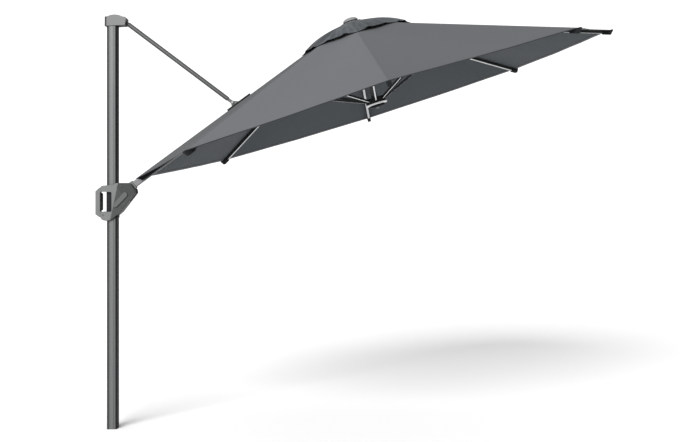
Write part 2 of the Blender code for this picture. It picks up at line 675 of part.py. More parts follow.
def make_rib(index):
    frame = joint_empty(f"rib_{index}_hinge", rib_frame(index), HINGE)
    outline = arc((HINGE_ALONG, HINGE_DEPTH), 0.010, 90, 270, 8)
    outline += [(HINGE_ALONG + 0.018, RIB_BOTTOM), (KNEE.x - 0.030, RIB_BOTTOM)]
    outline += arc((KNEE.x, KNEE.z), 0.0085, 195, 345, 6)
    outline += [(KNEE.x + 0.030, RIB_BOTTOM + 0.0005), (RIB_END - 0.008, RIB_BOTTOM + 0.002)]
    outline += [(RIB_END, RIB_BOTTOM + 0.008), (RIB_END, ARM_TOP), (HINGE_ALONG + 0.018, ARM_TOP)]
    solid = side_slab([outline], -RIB_WIDTH / 2, RIB_WIDTH / 2)
    groove = box((0.100, -0.005, RIB_BOTTOM + 0.0035), (RIB_END - 0.020, 0.005, 0.1))
    fork = box((KNEE.x - 0.04, -0.005, -0.1), (KNEE.x + 0.04, 0.005, RIB_BOTTOM - 0.0015))
    hinge_hole = rod((HINGE.x, -0.02, HINGE.z), (HINGE.x, 0.02, HINGE.z), HUB_PIN + GAP, 16)
    knee_hole = rod((KNEE.x, -0.02, KNEE.z), (KNEE.x, 0.02, KNEE.z), TRUNNION + GAP, 16)
    place(f"rib_{index}", cut(solid, groove, fork, hinge_hole, knee_hole), "coated", frame, HINGE)


def make_strut(index):
    frame = joint_empty(f"strut_{index}_hinge", rib_frame(index), KNEE)
    down = STRUT_FOOT - KNEE
    slope = math.degrees(math.atan2(down.z, down.x))
    outline = arc((KNEE.x, KNEE.z), STRUT_HALF_HEIGHT, slope + 90, slope + 270, 6)
    outline += arc((STRUT_FOOT.x, STRUT_FOOT.z), STRUT_HALF_HEIGHT, slope - 90, slope + 90, 6)
    strut = side_slab([outline], -STRUT_WIDTH / 2, STRUT_WIDTH / 2)
    upper = rod((KNEE.x, -0.0066, KNEE.z), (KNEE.x, 0.0066, KNEE.z), TRUNNION, 12)
    lower = rod((STRUT_FOOT.x, -0.0085, STRUT_FOOT.z), (STRUT_FOOT.x, 0.0085, STRUT_FOOT.z), TRUNNION, 12)
    place(f"strut_{index}", joined(strut, upper, lower), "coated", frame, KNEE)


# Runner that pushes the struts up, with its latch button


def make_runner():
    foot = Vector((HINGE_RADIUS, 0, RUNNER_LEVEL))
    turn = Matrix.Rotation(math.pi, 4, "Z")
    frame = joint_empty("runner_hinge", CANOPY @ turn, foot)
    top, floor, base = RUNNER_LEVEL + 0.016, RUNNER_LEVEL - 0.008, RUNNER_LEVEL - 0.027
    bore, button_bore = POLE_RADIUS + 2 * GAP, 0.0078
    profile = [(0.062, top), (0.062, base + 0.014), (0.066, base + 0.011), (0.066, base + 0.003)]
    profile += [(0.063, base), (button_bore, base), (button_bore, floor), (bore, floor), (bore, top)]
    pin_holes = [
        rod(*hub_pin_ends(index, HINGE_RADIUS, RUNNER_LEVEL, 0.0090), TRUNNION + GAP, 12)
        for index in range(RIB_COUNT)
    ]
    strut_slots = slots(STRUT_WIDTH / 2 + 0.0007, 0.041, RUNNER_LEVEL - 0.0105, top + 0.1)
    runner = cut(turned(profile), *strut_slots, *pin_holes)
    place("runner_hub", runner, "bright", frame, foot)
    ring = [(0.046, base - GAP), (0.049, base - 0.004), (0.047, base - 0.012), (0.040, base - 0.015)]
    ring += [(0.020, base - 0.015), (0.016, base - 0.012), (0.016, base - GAP)]
    place("runner_grip", turned(ring), "dark_plastic", frame, foot)

    centre = Vector((0, 0, RUNNER_LEVEL))
    button_frame = joint_empty("runner_button_slide", CANOPY, centre)
    knob = [(0, floor - 0.006), (0.007, floor - 0.006), (0.007, base - 0.007), (0.011, base - 0.008)]
    knob += [(0.0115, base - 0.018), (0.008, base - 0.023), (0, base - 0.0245)]
    place("runner_button", turned(knob, 32), "bright", button_frame, centre)


# Canopy cloth: a band rides on each rib and a gore hangs between two bands


def vent_lift(along):
    """The vent's cap stands this far above the main cloth."""
    return 0.008 + 0.035 * along


def band_strip(start, end, lift):
    """Two panels either side of a rib's ridge, as (surface, faces)."""
    surface = []
    for along, tip in ((start, start), (end, None)):
        raised = Vector((0, 0, lift(along)))
        width = band_half_width(along) - 0.0010
        across = ACROSS * width
        ridge = Vector((RIB_LENGTH if tip is None and end == CORNER_ALONG else along, 0, 0))
        mirrored = Vector((across.x, -across.y, across.z))
        surface += [Vector((along, 0, 0)) + mirrored + raised, ridge + raised]
        surface += [Vector((along, 0, 0)) + across + raised]
    return surface, [(0, 1, 4, 3), (1, 2, 5, 4)]


def make_band(index, frame, pivot):
    main = cloth(*band_strip(BAND_START, CORNER_ALONG, lambda along: 0))
    vent = cloth(*band_strip(BAND_START, VENT_END, vent_lift))
    mesh = main
    if index == 0:
        bracket = in_arm(BRACKET_PIVOT)
        mesh = cut(main, box((bracket.x - 0.060, -0.0185, -0.02), (bracket.x + 0.038, 0.0185, 0.02)))
    seam = box((BAND_START, -0.006, -0.0010), (BAND_START + 0.006, 0.006, vent_lift(BAND_START) - 0.0010))
    place(f"canopy_band_{index}", joined(mesh, seam, vent), "canvas", frame, pivot)


def gore_panel(start, end, lift):
    """The panel between two seams, in the gore's frame."""
    surface = []
    for along in (start, end):
        distance, half = seam_in_gore(along)
        half -= GAP
        surface += [Vector((distance, -half, lift(along))), Vector((distance, half, lift(along)))]
    return surface, [(0, 1, 3, 2)]


def gore_top():
    """Where the gore is just wide enough to be cloth."""
    narrowest = 0.003
    slope = (seam_in_gore(1.0)[1] - seam_in_gore(0.0)[1])
    return (narrowest - seam_in_gore(0.0)[1]) / slope


def make_gore(index):
    radius, height = GORE_HINGE
    pivot = Matrix.Rotation(-GORE_ANGLE, 3, "Y") @ Vector((radius, 0, height))
    frame = joint_empty(f"gore_{index}_hinge", gore_frame(index), pivot)
    start = gore_top()
    main = cloth(*gore_panel(start, CORNER_ALONG, lambda along: 0))
    vent = cloth(*gore_panel(start, VENT_END, vent_lift))
    distance, half = seam_in_gore(start + 0.004)
    seam = box((distance, -half / 2, -0.0010), (distance + 0.006, half / 2, vent_lift(start) - 0.0010))
    place(f"canopy_gore_{index}", joined(main, seam, vent), "canvas", frame, pivot)


def make_canopy():
    arm_pivot = in_arm(BRACKET_PIVOT)
    make_band(0, bpy.data.objects["arm_hinge"], arm_pivot)
    for index in range(1, RIB_COUNT):
        make_rib(index)
        make_band(index, bpy.data.objects[f"rib_{index}_hinge"], HINGE)
    for index in range(RIB_COUNT):
        make_strut(index)
        make_gore(index)


make_mast()
make_tie_rod()
make_arm()
make_carriage()
make_release_lever()
make_hub()
make_canopy()
make_runner()
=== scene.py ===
"""Looks of the cantilever parasol: cloth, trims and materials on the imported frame, with camera and light."""

import json
import math

import bmesh
import bpy
from mathutils import Matrix, Vector, noise


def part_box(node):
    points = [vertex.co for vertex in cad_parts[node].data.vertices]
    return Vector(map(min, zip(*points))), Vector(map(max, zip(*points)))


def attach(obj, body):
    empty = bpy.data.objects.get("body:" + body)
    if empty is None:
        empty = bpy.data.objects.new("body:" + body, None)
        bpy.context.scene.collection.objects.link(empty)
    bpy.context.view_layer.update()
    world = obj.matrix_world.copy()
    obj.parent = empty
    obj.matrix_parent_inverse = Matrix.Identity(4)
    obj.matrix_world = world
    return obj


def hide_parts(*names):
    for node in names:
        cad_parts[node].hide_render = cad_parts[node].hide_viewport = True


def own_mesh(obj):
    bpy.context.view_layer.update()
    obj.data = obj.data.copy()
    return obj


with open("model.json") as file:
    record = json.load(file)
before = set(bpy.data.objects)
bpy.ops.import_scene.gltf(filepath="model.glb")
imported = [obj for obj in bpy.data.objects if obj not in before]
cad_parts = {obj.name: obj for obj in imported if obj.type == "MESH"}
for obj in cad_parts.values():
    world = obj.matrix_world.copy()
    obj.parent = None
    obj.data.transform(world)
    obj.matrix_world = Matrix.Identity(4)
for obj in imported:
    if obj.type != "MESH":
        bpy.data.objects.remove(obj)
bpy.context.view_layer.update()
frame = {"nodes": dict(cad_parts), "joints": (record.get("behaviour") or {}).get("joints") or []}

NODES = frame["nodes"]
JOINTS = {joint["name"]: joint for joint in frame["joints"]}

# The canopy, as in the CAD model. In its own frame the apex is the origin, Z points up along the pole, and
# X points out over the arm, which is rib number 0.
CANOPY_RADIUS = 1.500
CANOPY_RISE = 0.518
CANOPY_TILT = math.radians(17.66)
RIM_CENTRE = Vector((1.563, 0.0, 1.935))
RIB_COUNT = 8
RIB_STEP = 2 * math.pi / RIB_COUNT
RISE_ANGLE = math.atan2(CANOPY_RISE, CANOPY_RADIUS)
RIB_LENGTH = math.hypot(CANOPY_RADIUS, CANOPY_RISE)
GORE_RADIUS = CANOPY_RADIUS * math.cos(RIB_STEP / 2)
GORE_ANGLE = math.atan2(CANOPY_RISE, GORE_RADIUS)
GORE_LENGTH = math.hypot(GORE_RADIUS, CANOPY_RISE)
HALF_GORE = math.acos(GORE_LENGTH / RIB_LENGTH)
APEX = RIM_CENTRE + CANOPY_RISE * Vector((-math.sin(CANOPY_TILT), 0, math.cos(CANOPY_TILT)))
CANOPY = Matrix.Translation(APEX) @ Matrix.Rotation(math.pi, 4, "Z") @ Matrix.Rotation(CANOPY_TILT, 4, "Y")
CANOPY_UP = CANOPY.to_3x3() @ Vector((0, 0, 1))

# The band of cloth over a rib: half its width at the apex, and what that gains with each metre outwards
BAND_ROOT = 0.02343
BAND_TAPER = 0.027614

# Where the main cloth and the vent's cap start along a rib, and where the cap ends
CLOTH_START = 0.0715
VENT_START = 0.050
VENT_END = 0.350

# The cloth's thickness, how far its hem turns under, and where the hem's stitches lie from the edge
CLOTH_THICKNESS = 0.0012
HEM = 0.024
HEM_STITCH = HEM * 0.8

# Rows of stitches beside a seam, by their distance from it, with half a thread's width, the length of a
# stitch and the share of it that is gap
STITCH_ROWS = (0.0028, 0.0105)
STITCH_HALF_WIDTH = 0.0005
STITCH_LENGTH = 0.0042
STITCH_GAP = 0.28

TIE_PIVOT = Vector(JOINTS["tie_rod_swing"]["pos_m"])
BRACKET_PIVOT = Vector(JOINTS["arm_swing"]["pos_m"])
CARRIAGE_PIVOT = Vector(JOINTS["carriage_swing"]["pos_m"])


def rib_frame(index):
    """X runs outwards along the cloth over a rib, Z stands square to it, and the apex is the origin."""
    return CANOPY @ Matrix.Rotation(RIB_STEP * index, 4, "Z") @ Matrix.Rotation(RISE_ANGLE, 4, "Y")


def gore_frame(index):
    """X runs outwards along the middle of the gore after rib number index."""
    turn = Matrix.Rotation(RIB_STEP * (index + 0.5), 4, "Z")
    return CANOPY @ turn @ Matrix.Rotation(GORE_ANGLE, 4, "Y")


def band_half_width(along):
    """Half the width of the band over a rib, at a distance along it from the apex."""
    return BAND_ROOT + BAND_TAPER * along


# Meshes

SAME_POINT = 5e-6


def mesh_object(name, points, faces, layers):
    """A mesh object; layers is one (across, along) pair in metres for each point, kept as its UV map."""
    mesh = bpy.data.meshes.new(name)
    mesh.from_pydata([tuple(point) for point in points], [], faces)
    mesh.shade_smooth()
    uv = mesh.uv_layers.new(name="cut")
    for loop in mesh.loops:
        uv.data[loop.index].uv = layers[loop.vertex_index]
    return link(name, mesh)


def link(name, mesh):
    """An object of the scene that shows a mesh."""
    mesh.name = name
    piece = bpy.data.objects.new(name, mesh)
    bpy.context.scene.collection.objects.link(piece)
    return piece


def grid_faces(rows, columns, skip=()):
    """The faces of a grid of points listed row by row."""
    return [
        (r * columns + c, r * columns + c + 1, (r + 1) * columns + c + 1, (r + 1) * columns + c)
        for r in range(rows - 1)
        for c in range(columns - 1)
        if (r, c) not in skip
    ]


def evaluated(data, modifiers=()):
    """The mesh of a curve or mesh with its modifiers applied."""
    helper = bpy.data.objects.new("helper", data)
    bpy.context.scene.collection.objects.link(helper)
    for kind, settings in modifiers:
        modifier = helper.modifiers.new(kind, kind)
        for key, value in settings.items():
            setattr(modifier, key, value)
    bpy.context.view_layer.update()
    mesh = bpy.data.meshes.new_from_object(helper.evaluated_get(bpy.context.evaluated_depsgraph_get()))
    bpy.data.objects.remove(helper)
    return mesh


def cleaned(mesh):
    """Joins points that lie on each other and turns all faces outwards."""
    work = bmesh.new()
    work.from_mesh(mesh)
    bmesh.ops.remove_doubles(work, verts=work.verts, dist=SAME_POINT)
    bmesh.ops.recalc_face_normals(work, faces=work.faces)
    work.to_mesh(mesh)
    work.free()
    return mesh


def slab(outlines, half_thickness):
    """Closed outlines in XY, filled and thickened along Z."""
    curve = bpy.data.curves.new("outline", "CURVE")
    curve.dimensions = "2D"
    curve.fill_mode = "BOTH"
    curve.extrude = half_thickness
    for outline in outlines:
        spline = curve.splines.new("POLY")
        spline.points.add(len(outline) - 1)
        spline.use_cyclic_u = True
        for point, (x, y) in zip(spline.points, outline):
            point.co = (x, y, 0, 1)
    return cleaned(evaluated(curve))


def side_slab(outlines, low, high):
    """Outlines in XZ, thickened along Y from low to high."""
    mesh = slab(outlines, (high - low) / 2)
    mesh.transform(Matrix.Translation((0, (low + high) / 2, 0)) @ Matrix.Rotation(math.pi / 2, 4, "X"))
    return mesh


def rod(start, end, radius):
    """A round bar from one point to another."""
    mesh = bpy.data.meshes.new("rod")
    turn = (end - start).to_track_quat("Z", "Y").to_matrix().to_4x4()
    work = bmesh.new()
    bmesh.ops.create_cone(
        work,
        cap_ends=True,
        segments=24,
        radius1=radius,
        radius2=radius,
        depth=(end - start).length,
        matrix=Matrix.Translation((start + end) / 2) @ turn,
    )
    work.to_mesh(mesh)
    work.free()
    return mesh


def gathered(*meshes):
    """Several solids in one mesh."""
    work = bmesh.new()
    for mesh in meshes:
        work.from_mesh(mesh)
    whole = bpy.data.meshes.new("group")
    work.to_mesh(whole)
    work.free()
    return whole


def arc(centre, radius, start, end, steps):
    """Points on a circle from one angle to another, in degrees."""
    angles = [math.radians(start + (end - start) * i / steps) for i in range(steps + 1)]
    return [(centre[0] + radius * math.cos(a), centre[1] + radius * math.sin(a)) for a in angles]


def softened(piece, width, segments=3):
    """Rounds a piece's edges and shades it smooth."""
    piece.data.shade_smooth()
    modifier = piece.modifiers.new("soft_edges", "BEVEL")
    modifier.width = width
    modifier.segments = segments
    modifier.limit_method = "ANGLE"
    modifier.angle_limit = math.radians(30)
    modifier.harden_normals = True
    return piece


def finished(piece, body, material):
    """Gives a piece its material and makes it ride on a body."""
    piece.data.materials.clear()
    piece.data.materials.append(material)
    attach(piece, body)


# Materials


class Shader:
    """A Principled material and short ways to add the nodes that give it its grain."""

    def __init__(self, name):
        self.material = bpy.data.materials.new(name)
        self.material.use_nodes = True
        self.tree = self.material.node_tree
        self.surface = self.tree.nodes["Principled BSDF"]

    def node(self, kind, **inputs):
        made = self.tree.nodes.new(kind)
        for key, value in inputs.items():
            if key.startswith("set_"):
                setattr(made, key[4:], value)
            else:
                self.feed(made.inputs[key.replace("_", " ")], value)
        return made

    def feed(self, socket, value):
        if isinstance(value, bpy.types.NodeSocket):
            self.tree.links.new(value, socket)
        else:
            socket.default_value = value

    def kept(self, name):
        """A number that the mesh keeps for each point or face."""
        return self.node("ShaderNodeAttribute", set_attribute_name=name).outputs["Fac"]

    def math(self, operation, first, second=0.0, third=0.0):
        made = self.tree.nodes.new("ShaderNodeMath")
        made.operation = operation
        for socket, value in zip(made.inputs, (first, second, third)):
            self.feed(socket, value)
        return made.outputs[0]

    def place(self, scale=(1, 1, 1), source="Object"):
        """A point's own place in metres, on the object or on the flat cloth, times scale."""
        coordinates = self.tree.nodes.new("ShaderNodeTexCoord")
        mapping = self.tree.nodes.new("ShaderNodeMapping")
        mapping.inputs["Scale"].default_value = scale
        self.tree.links.new(coordinates.outputs[source], mapping.inputs["Vector"])
        return mapping.outputs[0]

    def noise(self, vector, scale, detail=3.0, roughness=0.5):
        made = self.node("ShaderNodeTexNoise", Vector=vector, Scale=scale, Detail=detail, Roughness=roughness)
        return made.outputs["Fac"]

    def ramp(self, value, start, stop):
        """0 to 1 as value goes from start to stop."""
        share = self.tree.nodes.new("ShaderNodeMapRange")
        self.feed(share.inputs["Value"], value)
        share.inputs["From Min"].default_value = start
        share.inputs["From Max"].default_value = stop
        return share.outputs[0]

    def span(self, value, low, high):
        """value, 0 to 1, spread from low to high."""
        made = self.tree.nodes.new("ShaderNodeMapRange")
        self.feed(made.inputs["Value"], value)
        made.inputs["To Min"].default_value = low
        made.inputs["To Max"].default_value = high
        return made.outputs[0]

    def blend(self, amount, first, second):
        """A colour between two."""
        made = self.tree.nodes.new("ShaderNodeMix")
        made.data_type = "RGBA"
        self.feed(made.inputs[0], amount)
        self.feed(made.inputs[6], first)
        self.feed(made.inputs[7], second)
        return made.outputs[2]

    def bump(self, height, distance, strength=1.0):
        made = self.node("ShaderNodeBump", Height=height, Distance=distance, Strength=strength)
        self.tree.links.new(made.outputs[0], self.surface.inputs["Normal"])

    def set(self, **values):
        for key, value in values.items():
            self.feed(self.surface.inputs[key.replace("_", " ")], value)


def shade(colour, factor):
    """A colour made lighter or darker, with its alpha."""
    return (*(min(1, channel * factor) for channel in colour), 1)


def fabric(name, colour, pitch=0.0011, contrast=0.10, sewn=True, painted_crease_shade=0.0, painted_hem_shade=0.009):
    """Plain weave with mottling; sewn cloth also has stitches and painted shade: dark streaks like the shade
    in creases, a dark strip along its hem and a darker share on each gore.
    """
    made = Shader(name)
    cut = made.place(source="UV")
    threads = 1 / pitch / 3
    warp = made.node("ShaderNodeTexWave", Vector=cut, Scale=threads, set_bands_direction="X")
    weft = made.node("ShaderNodeTexWave", Vector=cut, Scale=threads, set_bands_direction="Y")
    weave = made.math("MULTIPLY", warp.outputs["Fac"], weft.outputs["Fac"])
    fleck = made.noise(made.place(), scale=420, detail=2.0)
    fade = made.noise(made.place(), scale=2.2, detail=3.0)
    tone = made.math("ADD", made.math("MULTIPLY", weave, 0.45), made.math("MULTIPLY", fleck, 0.35))
    tone = made.math("ADD", tone, made.math("MULTIPLY", fade, 0.4))
    base = made.blend(tone, shade(colour, 1 - contrast), shade(colour, 1 + contrast))
    height = made.math("ADD", weave, made.math("MULTIPLY", fleck, 0.4))
    if sewn:
        # Painted shade: dark streaks along the cloth, like the shade that falls in creases
        streak = made.noise(made.place((38, 9, 1), "UV"), scale=1.0, detail=2.0)
        crease_shade_mask = made.math("MULTIPLY", made.ramp(streak, 0.42, 0.62), painted_crease_shade)
        base = made.blend(crease_shade_mask, base, shade(colour, 0.4))
        # Painted shade: each gore's cloth darkened to its share, kept on each face as tone
        base = made.blend(made.kept("tone"), shade(colour, 0.0), base)
        seam = made.kept("seam")
        rows = [made.math("COMPARE", seam, row, STITCH_HALF_WIDTH) for row in STITCH_ROWS]
        along_stitch = made.math("FRACT", made.math("DIVIDE", made.kept("run"), STITCH_LENGTH))
        dash = made.math("GREATER_THAN", along_stitch, STITCH_GAP)
        thread = made.math("MULTIPLY", made.math("MAXIMUM", *rows), dash)
        base = made.blend(made.math("MULTIPLY", thread, 0.6), base, shade(colour, 0.5))
        height = made.math("ADD", height, made.math("MULTIPLY", thread, 1.6))
        # Painted shade: a dark strip on the outer face along the hem, where its edge falls in shade
        in_painted_hem_shade = made.math("LESS_THAN", made.kept("edge"), painted_hem_shade)
        base = made.blend(in_painted_hem_shade, base, shade(colour, 0.16))
    made.set(Base_Color=base, Roughness=made.span(fleck, 0.82, 0.95))
    made.bump(height, distance=0.00022, strength=0.5)
    made.set(Sheen_Weight=0.08, Sheen_Roughness=0.5, Specular_IOR_Level=0.2)
    return made.material


def aluminium(name, colour, direction=(1, 1, 0.012), painted_edge_shade=False):
    """Satin extrusion: fine lines along its length, slow cloudiness and a few faint rubs; if asked, painted
    shade on its sides and across its faces, darker towards its right.
    """
    roughness, metallic = 0.42, 0.35
    made = Shader(name)
    lines = made.noise(made.place(direction), scale=900, detail=2.0)
    cloud = made.noise(made.place(), scale=5, detail=3.0)
    rubs = made.noise(made.place((1, 1, 0.25)), scale=60, detail=6.0, roughness=0.7)
    base = made.blend(made.span(lines, 0.25, 0.75), shade(colour, 0.96), shade(colour, 1.04))
    base = made.blend(made.math("MULTIPLY", cloud, 0.25), base, shade(colour, 0.85))
    worn = made.math("MULTIPLY", made.math("GREATER_THAN", rubs, 0.68), 0.12)
    base = made.blend(worn, base, shade(colour, 1.2))
    # Painted shade: the mast's sides dark, its faces darker towards the right, and less shine on the shaded
    # sides
    if painted_edge_shade:
        across = made.node("ShaderNodeSeparateXYZ", Vector=made.place()).outputs["X"]
        from_middle = made.math("ABSOLUTE", made.math("SUBTRACT", across, FACE_MIDDLE))
        edge = made.ramp(from_middle, FACE_HALF_WIDTH, FACE_HALF_WIDTH + FACE_BLUR)
        painted_shade_to_right = made.ramp(across, -FACE_HALF_WIDTH, FACE_HALF_WIDTH)
        base = made.blend(made.math("MULTIPLY", painted_shade_to_right, 0.25), base, shade(colour, 0.4))
        base = made.blend(edge, base, made.blend(painted_shade_to_right, shade(colour, 0.10), shade(colour, 0.18)))
        made.set(Specular_IOR_Level=made.span(edge, 0.5, 0.05), Metallic=made.span(edge, metallic, 0.0))
    else:
        made.set(Metallic=metallic)
    made.set(Base_Color=base, Roughness=made.span(lines, roughness - 0.05, roughness + 0.09))
    made.bump(lines, distance=0.00006, strength=0.5)
    return made.material


def along_axis(made, vector, axis):
    """A vector's reach along axis."""
    reach = made.tree.nodes.new("ShaderNodeVectorMath")
    reach.operation = "DOT_PRODUCT"
    made.feed(reach.inputs[0], vector)
    reach.inputs[1].default_value = axis
    return reach.outputs["Value"]


def side_shade(made, base, dark, axis, limit, both=False):
    """Paints shade: keeps base on faces that look along axis by more than limit, or along it either way, and
    puts dark on the others as painted shade."""
    blur = 0.08
    facing = along_axis(made, made.tree.nodes.new("ShaderNodeTexCoord").outputs["Normal"], axis)
    if both:
        facing = made.math("ABSOLUTE", facing)
    return made.blend(made.ramp(facing, limit - blur, limit + blur), dark, base)


def beyond(made, axis, start, blur):
    """0 to 1 where a point's reach along axis, in metres, passes start."""
    return made.ramp(along_axis(made, made.place(), axis), start - blur / 2, start + blur / 2)


def coated(name, colour, painted_side_shade=None):
    """Powder coat: fine orange peel over a slightly uneven grey; if asked, painted shade on the sides, so that
    the pale coat shows only on the underside.
    """
    roughness, metallic = 0.42, 0.2
    made = Shader(name)
    peel = made.noise(made.place(), scale=700, detail=2.0)
    cloud = made.noise(made.place(), scale=12, detail=3.0)
    base = made.blend(cloud, shade(colour, 0.9), shade(colour, 1.1))
    # Painted shade: sides dark, only faces that look down into the canopy keep the pale coat
    if painted_side_shade:
        base = side_shade(made, base, shade(painted_side_shade, 1), -CANOPY_UP, limit=0.7)
    made.set(Base_Color=base, Metallic=metallic)
    made.set(Roughness=made.span(peel, roughness - 0.06, roughness + 0.08))
    made.bump(peel, distance=0.00008, strength=0.6)
    return made.material


def plastic(name, colour, roughness=0.5, specular=0.15, painted_edge_shade=None, second_tone_and_painted_shade=None):
    """Spark-eroded moulding grain with faint flow marks and small scuffs; if asked, a second colour beyond a
    line, which is an own second tone on some mouldings and painted shade on others, and painted shade on faces
    that look neither to the front nor to the back.
    """
    made = Shader(name)
    pits = made.node("ShaderNodeTexVoronoi", Vector=made.place(), Scale=950.0).outputs["Distance"]
    flow = made.noise(made.place((1, 1, 0.3)), scale=18, detail=4.0)
    scuffs = made.noise(made.place(), scale=130, detail=8.0, roughness=0.75)
    base = made.blend(flow, shade(colour, 0.88), shade(colour, 1.10))
    scuffed = made.math("MULTIPLY", made.math("GREATER_THAN", scuffs, 0.64), 0.30)
    base = made.blend(scuffed, base, shade(colour, 1.3))
    # A second colour beyond a line: an own second tone on the housing and runner, painted shade on the cap
    if second_tone_and_painted_shade:
        axis, start, blur, second = second_tone_and_painted_shade
        base = made.blend(beyond(made, axis, start, blur), base, shade(second, 1))
    # Painted shade: dark on faces that look neither to the front nor to the back
    if painted_edge_shade:
        base = side_shade(made, base, shade(colour, painted_edge_shade), FRONT, limit=0.6, both=True)
    made.set(Base_Color=base, Roughness=made.span(flow, roughness - 0.07, roughness + 0.08))
    made.set(Specular_IOR_Level=specular)
    made.bump(pits, distance=0.00009, strength=0.7)
    return made.material


def steel(name):
    """Bare steel with brush marks and slow cloudiness."""
    colour, roughness, metallic = (0.19, 0.195, 0.20), 0.42, 0.5
    made = Shader(name)
    brush = made.noise(made.place((1, 0.04, 1)), scale=1500, detail=2.0)
    cloud = made.noise(made.place(), scale=30, detail=4.0)
    base = made.blend(brush, shade(colour, 0.88), shade(colour, 1.08))
    base = made.blend(made.math("MULTIPLY", cloud, 0.3), base, shade(colour, 0.75))
    made.set(Base_Color=base, Metallic=metallic)
    made.set(Roughness=made.span(brush, roughness - 0.06, roughness + 0.1))
    made.bump(brush, distance=0.00004, strength=0.5)
    return made.material


# The pale strip down each narrow face of the mast, beside which its sides are painted in shade: its middle,
# half its width and the blur at its edges
FACE_MIDDLE = 0.0020
FACE_HALF_WIDTH = 0.0168
FACE_BLUR = 0.005

# The way that the near side faces, and a second colour on three mouldings: the housing's own second tone
# beyond a slanted line across it, painted shade along the cap's rear edge and the runner's own second tone
# above its flange. Each has an axis, where it starts along that axis, its blur and its colour.
FRONT = (0, -1, 0)
HOUSING_TONES = ((0.979, 0, -0.204), -0.258, 0.006, (0.036, 0.038, 0.038))
CAP_PAINTED_SHADE = ((-1, 0, 0), 0.030, 0.006, (0.020, 0.021, 0.021))
FLANGE_TOP = CANOPY_UP.dot(Vector(JOINTS["runner_foot"]["pos_m"])) - 0.0180
RUNNER_TONES = (CANOPY_UP, FLANGE_TOP, 0.001, (0.010, 0.011, 0.011))
# The painted shade on the sides of the ribs and struts
SHADED = (0.008, 0.009, 0.010)

# The painted shade of each gore's cloth, as a share of the canvas's colour
GORE_PAINTED_SHADES = (0.58, 1.0, 0.76, 0.86, 0.88, 0.92, 0.90, 0.80)
CANVAS = fabric("canopy_canvas", (0.079, 0.0835, 0.0910))
VENT_CANVAS = fabric("vent_canvas", (0.058, 0.066, 0.074), painted_crease_shade=0.8, painted_hem_shade=0.003)
# Painted shade: the cloth's underside, the same canvas made darker as if in the shade under the canopy
PAINTED_UNDERSIDE = fabric("canopy_underside_painted_shade", (0.0350, 0.0415, 0.0475), sewn=False)
WEBBING = fabric("black_webbing", (0.007, 0.008, 0.009), pitch=0.0016, contrast=0.25, sewn=False)
MAST_METAL = aluminium("mast_metal", (0.081, 0.083, 0.084), painted_edge_shade=True)
ARM_METAL = aluminium("arm_metal", (0.095, 0.097, 0.098), direction=(0.012, 1, 1))
ROD_METAL = aluminium("rod_metal", (0.052, 0.054, 0.054), direction=(0.02, 1, 1))
RIB_COAT = coated("rib_coat", (0.52, 0.525, 0.53), painted_side_shade=SHADED)
STRUT_COAT = coated("strut_coat", (0.72, 0.73, 0.74), painted_side_shade=SHADED)
FORK_COAT = coated("fork_coat", (0.040, 0.042, 0.040))
BRACKET_COAT = coated("bracket_coat", (0.060, 0.062, 0.060))
HOUSING = plastic("housing_plastic", (0.112, 0.114, 0.114), painted_edge_shade=0.2, second_tone_and_painted_shade=HOUSING_TONES)
FITTING = plastic("fitting_plastic", (0.105, 0.107, 0.107), painted_edge_shade=0.3)
CAP = plastic("cap_plastic", (0.136, 0.138, 0.138), painted_edge_shade=0.3, second_tone_and_painted_shade=CAP_PAINTED_SHADE)
CHEEK = plastic("cheek_plastic", (0.028, 0.030, 0.030))
LEVER = plastic("lever_plastic", (0.066, 0.068, 0.068), painted_edge_shade=0.35)
FINIAL = plastic("finial_plastic", (0.165, 0.168, 0.168))
RUNNER = plastic("runner_plastic", (0.80, 0.81, 0.81), second_tone_and_painted_shade=RUNNER_TONES)
BLACK = plastic("black_plastic", (0.012, 0.013, 0.014), roughness=0.6, specular=0.05)
STEEL = steel("bare_steel")

FINISHES = {
    "mast_foot_plug": BLACK, "mast_cap": CAP, "tie_pivot_pin": STEEL, "tie_rod_tube": ROD_METAL,
    "tie_rod_eye": FORK_COAT, "tie_rod_fork": FORK_COAT, "arm_tube": ARM_METAL, "arm_head": FITTING,
    "arm_strut_lug": FITTING, "arm_bracket": BRACKET_COAT, "bracket_pin": STEEL, "arm_root_socket": FITTING,
    "carriage_shell_near": HOUSING, "carriage_shell_far": HOUSING, "carriage_grip": HOUSING,
    "carriage_liner": BLACK, "carriage_pivot_pin": STEEL, "lever_pin": FORK_COAT,
    "carriage_screw_lower": FORK_COAT, "carriage_screw_upper": FORK_COAT, "release_lever": LEVER,
    "crown_hub": FITTING, "crown_finial": FINIAL, "centre_pole": ARM_METAL, "runner_hub": RUNNER,
    "runner_grip": BLACK, "runner_button": FINIAL,
}


def finish_cad_nodes():
    """A finish for every CAD node that stays in view."""
    for name, node in NODES.items():
        if name.startswith("rib_"):
            material = RIB_COAT
        elif name.startswith("strut_"):
            material = STRUT_COAT
        elif name in FINISHES:
            material = FINISHES[name]
        else:
            continue
        node.data.materials.clear()
        node.data.materials.append(material)
        for polygon in node.data.polygons:
            polygon.material_index = 0


# Cloth


# How deep the main cloth sags between its ribs, and how high its two kinds of unevenness are
SAG_DEPTH = 0.016
UNEVENNESS = 0.0022
FINE_UNEVENNESS = 0.0007

# The vent's cap: its height over the ribs and what that gains outwards, its height in the middle of a gore
# and how much more it bulges there, and its pleats, each with a place across the gore, a width and a height
VENT_RIDGE = 0.0036
VENT_RIDGE_GAIN = 0.0006
VENT_MIDDLE = 0.0038
VENT_BULGE = 0.0250
VENT_PLEATS = ((0.42, 0.14, 0.010), (-0.48, 0.12, 0.006))


def width_at(x):
    """Half the width of a whole gore where its middle is at x, and never quite nothing."""
    return max(1e-6, x * math.tan(HALF_GORE))


